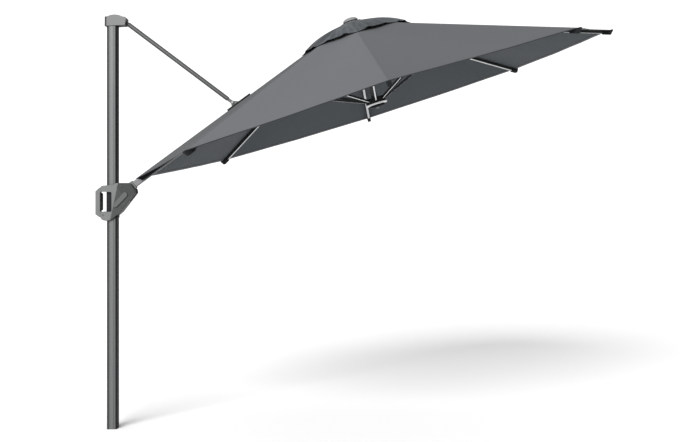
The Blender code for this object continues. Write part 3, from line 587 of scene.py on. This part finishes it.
def side_at(x, y):
    """0 at the middle of a gore and 1 at its ribs."""
    return min(1.0, abs(y) / width_at(x))


def sag(x, side):
    """How far the cloth hangs below the flat gore, which is most a little past half its length."""
    along = max(0.0, min(1.0, x / GORE_LENGTH))
    depth = SAG_DEPTH * math.sin(math.pi * min(1.0, along * 0.86 + 0.04)) ** 1.2
    return depth * (1 - side * side) ** 2


def tension(x, y, side, seed):
    """Slight unevenness of stretched cloth, drawn out along the gore."""
    wide = noise.noise(Vector((x * 1.6, y * 5.0, seed * 7.3)))
    fine = noise.noise(Vector((x * 4.0, y * 17.0, seed * 3.1 + 40)))
    return (UNEVENNESS * wide + FINE_UNEVENNESS * fine) * (1 - side * side)


def main_height(x, y, gore):
    """The main cloth's height over the flat gore."""
    side = side_at(x, y)
    return -sag(x, side) + tension(x, y, side, gore)


def vent_height(x, y, gore):
    """The vent's cap lies close over the ribs and bulges between them, with pleats toward its hem."""
    side, share = side_at(x, y), x / VENT_END
    ridge = VENT_RIDGE + VENT_RIDGE_GAIN * share
    middle = VENT_MIDDLE + VENT_BULGE * math.sin(math.pi * min(1.0, share ** 1.4 * 0.98)) ** 1.1
    pleat = 0.0
    for place, wide, high in VENT_PLEATS:
        offset = (y / width_at(x) - (place if gore % 2 else -place)) / wide
        pleat += high * math.exp(-offset * offset) * share ** 2
    return middle + (ridge - middle) * side ** 2.2 + pleat * (1 - side ** 4)


def on_gore(gore, x, y, height, lift):
    """A point of the cloth on a gore: x from the apex, y from its middle, lift above what height gives."""
    return gore_frame(gore) @ Vector((x, y, height(x, y, gore) + lift))


def on_band(rib, along, across, height, lift):
    """A point of the cloth beside a rib: along from the apex, across from the ridge."""
    x = along * math.cos(HALF_GORE) + abs(across) * math.sin(HALF_GORE)
    y = along * math.sin(HALF_GORE) - abs(across) * math.cos(HALF_GORE)
    gore, side = (rib, -1) if across >= 0 else ((rib - 1) % RIB_COUNT, 1)
    return on_gore(gore, x, side * y, height, lift)


def mark(piece, **values):
    """Keeps numbers on each point, such as its distance from a seam, for the materials."""
    for name, numbers in values.items():
        layer = piece.data.attributes.new(name, "FLOAT", "POINT")
        layer.data.foreach_set("value", numbers)


def mark_painted_gore_shade(piece, gores):
    """Keeps the painted shade of the gore that each face belongs to, as a share of the cloth's colour."""
    layer = piece.data.attributes.new("tone", "FLOAT", "FACE")
    layer.data.foreach_set("value", [GORE_PAINTED_SHADES[gore] for gore in gores])


def thicken(piece, thickness, painted_inner_shade):
    """Gives a sheet its thickness; with painted inner shade, its inner face gets the second material, a darker
    copy of the cloth painted in the shade under the canopy.
    """
    settings = {"thickness": thickness, "offset": -1, "use_even_offset": True}
    if painted_inner_shade:
        settings["material_offset"] = 1
    surface = piece.data
    piece.data = evaluated(surface, [("SOLIDIFY", settings)])
    piece.data.name = surface.name
    bpy.data.meshes.remove(surface)
    piece.data.shade_smooth()
    piece.data.set_sharp_from_angle(angle=math.radians(50))


def outward(piece):
    """Turns the sheet's outer face up and away from the canopy's inside."""
    if piece.data.polygons[0].normal.dot(CANOPY_UP) < 0:
        piece.data.flip_normals()


def cloth_finish(piece, body, materials, thickness=CLOTH_THICKNESS):
    """Makes a surface into a sheet of cloth that rides on a body."""
    outward(piece)
    piece.data.materials.clear()
    for material in materials:
        piece.data.materials.append(material)
    thicken(piece, thickness, painted_inner_shade=len(materials) > 1)
    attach(piece, body)


# The slot in the band over the arm, through which the bracket stands
SLOT_CENTRE = (rib_frame(0).inverted() @ BRACKET_PIVOT).x
SLOT_START = SLOT_CENTRE - 0.060
SLOT_STOP = SLOT_CENTRE + 0.038
SLOT_HALF_WIDTH = 0.0185

# Columns of points on each side of a band's ridge, up to the slot's edge: a pair for each row of stitches
INNER_COLUMNS = (0.0022, 0.0035, 0.0098, 0.0112, SLOT_HALF_WIDTH)

# How far a band's ridge dips, and what share of its width its hem loses with each metre turned under
RIDGE_DIP = 0.0006
HEM_TAPER = 0.4

# Where a hem or a column lies depends on itself, so each is found in a few steps
HEM_STEPS = 8
COLUMN_STEPS = 3


def band_columns(along):
    """How far each column of a band's points lies from the ridge, from one edge to the other."""
    half = [*INNER_COLUMNS, band_half_width(along)]
    return [-value for value in reversed(half)] + [0.0] + half


def band_stop(across, hem_at):
    """Where the cloth beside a rib ends, along the rib, for a hem that hem_at gives."""
    across = abs(across)
    x = hem_at(1.0)
    for _ in range(HEM_STEPS):
        along = (x - across * math.sin(HALF_GORE)) / math.cos(HALF_GORE)
        x = hem_at(side_at(x, along * math.sin(HALF_GORE) - across * math.cos(HALF_GORE)))
    return (x - across * math.sin(HALF_GORE)) / math.cos(HALF_GORE)


def seam_half(x):
    """Half the width of the panel between two bands, where the gore's middle is at x."""
    along = (x - BAND_ROOT * math.sin(HALF_GORE)) / (math.cos(HALF_GORE) + BAND_TAPER * math.sin(HALF_GORE))
    return along * math.sin(HALF_GORE) - band_half_width(along) * math.cos(HALF_GORE)


def make_band(name, rib, start, hem_at, height, rows, hem, slot=False):
    """The cloth over a rib, from near the apex to the hem, which turns under."""
    columns = len(band_columns(start))
    middle = columns // 2
    reach = band_stop(0.0, hem_at)
    fractions = [row / (rows - 1) for row in range(rows)]
    slot_rows = []
    if slot:
        for edge in (SLOT_START, SLOT_STOP):
            share = (edge - start) / (reach - start)
            slot_rows.append(min(range(rows), key=lambda row: abs(fractions[row] - share)))
            fractions[slot_rows[-1]] = share
    points, layers, seams, runs, edges = [], [], [], [], []

    def add(along, across, edge, lift):
        points.append(on_band(rib, along, across, height, lift - (RIDGE_DIP if across == 0.0 else 0.0)))
        layers.append((across, along))
        seams.append(min(abs(across), abs(edge - HEM_STITCH) + STITCH_ROWS[0]))
        runs.append(along if abs(across) < edge else across)
        edges.append(edge)

    for fraction in fractions:
        for column in range(columns):
            across = band_columns(start + fraction * (reach - start))[column]
            for _ in range(COLUMN_STEPS):
                along = start + fraction * (band_stop(across, hem_at) - start)
                across = band_columns(along)[column]
            add(along, across, band_stop(across, hem_at) - along, 0.0)
    for back, drop in hem:
        for column in range(columns):
            across = band_columns(band_stop(band_columns(reach)[column], hem_at))[column]
            stop = band_stop(across, hem_at)
            add(stop - back, across * (1 - HEM_TAPER * back), max(0.0, back), -drop)
    skip = set()
    if slot:
        slot_columns = range(middle - len(INNER_COLUMNS), middle + len(INNER_COLUMNS))
        skip = {(row, column) for row in range(*slot_rows) for column in slot_columns}
    faces = grid_faces(rows + len(hem), columns, skip)
    used = sorted({point for face in faces for point in face})
    number = {point: index for index, point in enumerate(used)}
    gores = [rib if face[0] % columns >= middle else (rib - 1) % RIB_COUNT for face in faces]
    faces = [[number[point] for point in face] for face in faces]
    piece = mesh_object(name, [points[i] for i in used], faces, [layers[i] for i in used])
    mark(piece, seam=[seams[i] for i in used], run=[runs[i] for i in used], edge=[edges[i] for i in used])
    mark_painted_gore_shade(piece, gores)
    return piece


def make_gore(name, gore, start, hem_at, height, rows, hem, columns):
    """The cloth between two bands, from near the apex to the hem."""
    points, layers, seams, runs, edges = [], [], [], [], []
    shares = [2 * column / (columns - 1) - 1 for column in range(columns)]

    def stop(share):
        x = hem_at(1.0)
        for _ in range(HEM_STEPS):
            x = hem_at(side_at(x, share * seam_half(x)))
        return x

    def add(x, share, edge, lift):
        y = share * seam_half(min(x, hem_at(1.0)))
        points.append(on_gore(gore, x, y, height, lift))
        layers.append((y, x))
        seams.append(abs(edge - HEM_STITCH) + STITCH_ROWS[0])
        runs.append(y)
        edges.append(edge)

    for row in range(rows):
        for share in shares:
            x = start + (stop(share) - start) * row / (rows - 1)
            add(x, share, stop(share) - x, 0.0)
    for back, drop in hem:
        for share in shares:
            add(stop(share) - back, share, max(0.0, back), -drop)
    faces = grid_faces(rows + len(hem), columns)
    piece = mesh_object(name, points, faces, layers)
    mark(piece, seam=seams, run=runs, edge=edges)
    mark_painted_gore_shade(piece, [gore] * len(faces))
    return piece


def gore_top(narrowest):
    """Where the middle of a panel is when half its width is narrowest."""
    along = (narrowest / math.cos(HALF_GORE) + BAND_ROOT) / (math.tan(HALF_GORE) - BAND_TAPER)
    return along * math.cos(HALF_GORE) + band_half_width(along) * math.sin(HALF_GORE)


# The rows of points round a hem: how far back from the edge each lies, and how far under the cloth
MAIN_HEM_ROWS = ((-0.0010, 0.0006), (-0.0010, 0.0020), (0.0010, 0.0030), (HEM, 0.0030))
VENT_HEM_ROWS = ((0.0006, 0.0010), (0.0080, 0.0016))
VENT_REACH = VENT_END * math.cos(HALF_GORE) + 0.012
VENT_SCALLOP = 0.012

# Half the width of a panel at its top
PANEL_TOP = 0.0015


def main_hem(_side):
    """The main cloth's hem runs straight from rib to rib."""
    return GORE_LENGTH


def vent_hem(side):
    """The vent's cap is longest at the ribs and drawn up between them."""
    return VENT_REACH - VENT_SCALLOP * (1 - side ** 2.2)


def make_canopy():
    """A band over each rib and a panel between each two, for the main cloth and for the vent's cap."""
    # Each cloth's inner face gets the painted shade of the underside
    main_cloth, vent_cloth = (CANVAS, PAINTED_UNDERSIDE), (VENT_CANVAS, PAINTED_UNDERSIDE)
    top = gore_top(PANEL_TOP)
    for rib in range(RIB_COUNT):
        body = "arm" if rib == 0 else f"rib_{rib}"
        main = make_band(f"ridge_cloth_{rib}", rib, CLOTH_START, main_hem, main_height, rows=64,
                         hem=MAIN_HEM_ROWS, slot=rib == 0)
        cloth_finish(main, body, main_cloth)
        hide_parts(f"canopy_band_{rib}")
        vent = make_band(f"vent_ridge_{rib}", rib, VENT_START, vent_hem, vent_height, rows=16,
                         hem=VENT_HEM_ROWS)
        cloth_finish(vent, body, vent_cloth)
    for gore in range(RIB_COUNT):
        body = f"gore_{gore}"
        main = make_gore(f"gore_cloth_{gore}", gore, top, main_hem, main_height, rows=40, hem=MAIN_HEM_ROWS,
                         columns=17)
        cloth_finish(main, body, main_cloth)
        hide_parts(f"canopy_gore_{gore}")
        vent = make_gore(f"vent_gore_{gore}", gore, top, vent_hem, vent_height, rows=14, hem=VENT_HEM_ROWS,
                         columns=13)
        cloth_finish(vent, body, vent_cloth)
        for piece in (main, vent):
            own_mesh(piece)


def make_pockets():
    """Black plugs at the rib tips, which pull the cloth's corners taut."""
    start, tip = 1.535, RIB_LENGTH + 0.017
    corner = RIB_LENGTH + 0.0025
    under, top, bottom, half_width = -0.0048, 0.0025, -0.0300, 0.0110
    outline = [(start, under), (start, bottom + 0.0038), (start + 0.006, bottom), (tip - 0.014, bottom)]
    outline += [(tip, 0.0005), (tip - 0.004, top), (corner, top), (corner, under)]
    for rib in range(1, RIB_COUNT):
        mesh = side_slab([outline], -half_width, half_width)
        mesh.transform(rib_frame(rib))
        pocket = softened(link(f"rib_pocket_{rib}", mesh), 0.0022)
        finished(pocket, f"rib_{rib}", BLACK)


def make_arm_sleeve():
    """The two sides of a dark cloth sleeve round the arm's lower end."""
    start, stop, low, high = 0.905, 1.560, -0.0345, -0.0050
    inner, outer = 0.0152, 0.0163
    outline = [(start, high), (start, low + 0.006), (start + 0.020, low), (stop, low), (stop + 0.015, high)]
    for side, name in ((-1, "near"), (1, "far")):
        mesh = side_slab([outline], *sorted((side * inner, side * outer)))
        mesh.transform(rib_frame(0))
        sleeve = softened(link(f"arm_sleeve_{name}", mesh), 0.0004, segments=1)
        finished(sleeve, "arm", WEBBING)


def make_slot_patch():
    """Black patch over the ridge, slit for the bracket that carries the tie rod."""
    slit_start, slit_stop = SLOT_CENTRE - 0.048, SLOT_CENTRE + 0.026
    along = [SLOT_START - 0.055, SLOT_START - 0.03, SLOT_START, slit_start, slit_stop]
    along += [SLOT_STOP, SLOT_STOP + 0.014]
    half = [(0.0058, 0.0095), (0.012, 0.0090), (0.019, 0.0075), (0.026, 0.0040)]
    columns = [(-across, lift) for across, lift in reversed(half)] + half
    places = [(across, distance, lift) for distance in along for across, lift in columns]
    points = [on_band(0, distance, across, main_height, lift) for across, distance, lift in places]
    layers = [(across, distance) for across, distance, _lift in places]
    slit = {(along.index(slit_start), len(half) - 1)}
    patch = mesh_object("bracket_patch", points, grid_faces(len(along), len(columns), slit), layers)
    cloth_finish(patch, "arm", (WEBBING,), thickness=0.0010)


# Mast and tie rod


def make_mast():
    """The extruded mast: round corners, a groove in each half of a narrow face, and a shallow channel and a
    groove in each half of a wide one."""
    low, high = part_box("mast_tube")
    half_x, half_y = high[0], high[1]
    corner, wall = 0.014, 0.0062
    channel, groove, narrow_groove = half_x - 0.0006, half_x - 0.0035, half_y - 0.0022
    wide_face = [(half_x, 0.0), (half_x, 0.009), (channel, 0.0095), (channel, 0.0155)]
    wide_face += [(half_x, 0.0160), (half_x, 0.0215), (groove, 0.0225), (groove, 0.0255)]
    wide_face += [(half_x, 0.0265), (half_x, half_y - corner)]
    curve = arc((half_x - corner, half_y - corner), corner, 0, 90, 7)[1:]
    narrow_face = [(0.0135, half_y), (0.0125, narrow_groove), (0.0095, narrow_groove), (0.0085, half_y)]
    quarter = wide_face + curve + narrow_face
    outline = quarter + [(-x, y) for x, y in reversed(quarter)]
    outline += [(-x, -y) for x, y in quarter[1:]] + [(x, -y) for x, y in list(reversed(quarter))[:-1]]
    separate = []
    for point in outline:
        if not separate or (Vector(point) - Vector(separate[-1])).length > 1e-5:
            separate.append(point)
    inner = [(x * (half_x - wall) / half_x, y * (half_y - wall) / half_y) for x, y in
             [(half_x, half_y), (-half_x, half_y), (-half_x, -half_y), (half_x, -half_y)]]
    mesh = slab([separate, inner], (high[2] - low[2]) / 2)
    mesh.transform(Matrix.Translation((0, 0, (high[2] + low[2]) / 2)))
    mast = link("mast_profile", mesh)
    mast.data.shade_smooth()
    mast.data.set_sharp_from_angle(angle=math.radians(25))
    finished(mast, "mast", MAST_METAL)
    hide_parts("mast_tube")


def make_rod_sleeve():
    """A sleeve over the tie rod, short of both of its ends."""
    outer_radius, inner_radius, upper_gap, lower_gap = 0.0130, 0.0102, 0.058, 0.034
    reach = BRACKET_PIVOT - TIE_PIVOT
    start, stop = upper_gap, reach.length - lower_gap
    rings = [arc((0, 0), radius, 0, 345, 24) for radius in (outer_radius, inner_radius)]
    mesh = slab(rings, (stop - start) / 2)
    mesh.transform(Matrix.Translation((0, 0, (start + stop) / 2)))
    mesh.transform(Matrix.Translation(TIE_PIVOT) @ reach.to_track_quat("Z", "Y").to_matrix().to_4x4())
    finished(softened(link("tie_rod_sleeve", mesh), 0.0009), "tie_rod", ROD_METAL)


# Carriage details, with outlines in XZ, in metres from the mast's foot

# A black strip along the hand loop's inner wall, painted shade where the wall is in shadow: its outline and
# half its width
LOOP_SHADE_OUTLINE = (
    (-0.0702, 1.288), (-0.0632, 1.2935), (-0.0620, 1.2990), (-0.0620, 1.3850), (-0.0632, 1.3905),
    (-0.0702, 1.396),
)
LOOP_SHADE_HALF_WIDTH = 0.0265
CHEEK_OUTLINE = (
    (0.044, 1.4485), (0.032, 1.430), (0.060, 1.392), (0.094, 1.372), (0.1285, 1.3955), (0.1265, 1.4125),
    (0.1075, 1.4425), (0.0925, 1.4485),
)
PIN_CAP_CENTRE = CARRIAGE_PIVOT + Vector((0.014, 0, -0.006))
PIN_CAP_RADIUS = 0.0075
RIDGE_COUNT = 9
RIDGES_START = Vector((0.066, 0, 1.302))
RIDGES_STOP = Vector((0.126, 0, 1.380))
RIDGES_OUT = Vector((0.112, 0, -0.085)).normalized()
RIDGE_HALF_WIDTH = 0.0016
RIDGE_INNER_END = 0.012
RIDGE_OUTER_END = 0.001


def on_face(outline, face, side, sunk, proud):
    """An outline on one face of the carriage, which reaches sunk into it and stands proud of it."""
    return side_slab([outline], *sorted((face - side * sunk, face + side * proud)))


def make_grip_ridges(face, side):
    """A row of ridges along the housing's slanted lower edge."""
    ridges = []
    for index in range(RIDGE_COUNT):
        centre = RIDGES_START.lerp(RIDGES_STOP, index / (RIDGE_COUNT - 1))
        inner, outer = centre - RIDGES_OUT * RIDGE_INNER_END, centre - RIDGES_OUT * RIDGE_OUTER_END
        half = (RIDGES_STOP - RIDGES_START).normalized() * RIDGE_HALF_WIDTH
        corners = [inner - half, outer - half, outer + half, inner + half]
        ridges.append(on_face([(c.x, c.z) for c in corners], face, side, sunk=0.001, proud=0.0014))
    return gathered(*ridges)


def make_carriage_details():
    """A black strip of painted shade along the hand loop's inner wall, and a cheek, a pin cap and ridges on
    each side of the housing.
    """
    loop_shade_mesh = side_slab([LOOP_SHADE_OUTLINE], -LOOP_SHADE_HALF_WIDTH, LOOP_SHADE_HALF_WIDTH)
    painted_inner_shade = softened(link("grip_loop_painted_shade", loop_shade_mesh), 0.0015)
    finished(painted_inner_shade, "carriage", BLACK)
    half_width = max(abs(corner[1]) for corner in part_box("carriage_shell_near"))
    for side, name in ((-1, "near"), (1, "far")):
        face = side * half_width
        cheek_mesh = on_face(CHEEK_OUTLINE, face, side, sunk=0.002, proud=0.0016)
        cheek = softened(link(f"carriage_cheek_{name}", cheek_mesh), 0.0012)
        finished(cheek, "carriage", CHEEK)
        start, stop = (Vector((PIN_CAP_CENTRE.x, face + side * proud, PIN_CAP_CENTRE.z))
                       for proud in (0.0012, 0.0044))
        cap = softened(link(f"carriage_pin_cap_{name}", rod(start, stop, PIN_CAP_RADIUS)), 0.0012)
        finished(cap, "carriage", HOUSING)
        ridges = softened(link(f"carriage_ridges_{name}", make_grip_ridges(face, side)), 0.0005, segments=1)
        finished(ridges, "carriage", CHEEK)


finish_cad_nodes()
make_canopy()
make_pockets()
make_arm_sleeve()
make_slot_patch()
make_mast()
make_rod_sleeve()
make_carriage_details()


# Floor, light and camera

FLOOR_SIZE = 120
FLOOR_CENTRE = (1.5, 0, 0)

# How bright the surroundings are for the object and behind it, and the key light: how bright it is, where
# it comes from and how wide it looks from the object
AMBIENT = 0.56
BACKDROP = 1.2
KEY = 1.6
KEY_FROM = (-0.30, -0.87, 0.39)
KEY_SPREAD = math.radians(34)

SENSOR_MM = 36
LENS_MM = 61.758
LENS_SHIFT = (-0.0918571, -0.0445714)
CAMERA_PLACE = (1.284, -7.232, 1.413)
CAMERA_PAN = math.radians(-4.015)


def make_stage():
    """A pale floor that ends far behind the object, in an even light with a white backdrop."""
    bpy.ops.mesh.primitive_plane_add(size=FLOOR_SIZE, location=FLOOR_CENTRE)
    floor = bpy.context.object
    floor.name = "floor"
    made = Shader("pale_floor")
    made.set(Base_Color=(0.97, 0.97, 0.97, 1), Roughness=0.95, Specular_IOR_Level=0.0)
    floor.data.materials.append(made.material)
    world = bpy.data.worlds.new("studio")
    world.use_nodes = True
    background = world.node_tree.nodes["Background"]
    background.inputs["Color"].default_value = (1, 1, 1, 1)
    seen = world.node_tree.nodes.new("ShaderNodeLightPath").outputs["Is Camera Ray"]
    strength = world.node_tree.nodes.new("ShaderNodeMapRange")
    strength.inputs["To Min"].default_value = AMBIENT
    strength.inputs["To Max"].default_value = BACKDROP
    world.node_tree.links.new(seen, strength.inputs["Value"])
    world.node_tree.links.new(strength.outputs[0], background.inputs["Strength"])
    bpy.context.scene.world = world


def make_key():
    """A broad, soft light from the front, a little to the left."""
    data = bpy.data.lights.new("key", "SUN")
    data.energy = KEY * math.pi
    data.angle = KEY_SPREAD
    light = bpy.data.objects.new("key", data)
    light.rotation_euler = Vector(KEY_FROM).to_track_quat("Z", "Y").to_euler()
    bpy.context.scene.collection.objects.link(light)


def make_camera():
    """A level camera, shifted so that the mast stays upright in the picture."""
    data = bpy.data.cameras.new("camera")
    data.sensor_width = SENSOR_MM
    data.lens = LENS_MM
    data.shift_x, data.shift_y = LENS_SHIFT
    camera = bpy.data.objects.new("camera", data)
    camera.location = CAMERA_PLACE
    camera.rotation_euler = (math.radians(90), 0, CAMERA_PAN)
    bpy.context.scene.collection.objects.link(camera)
    bpy.context.scene.camera = camera


make_stage()
make_key()
make_camera()
bpy.context.scene.view_settings.view_transform = "Standard"
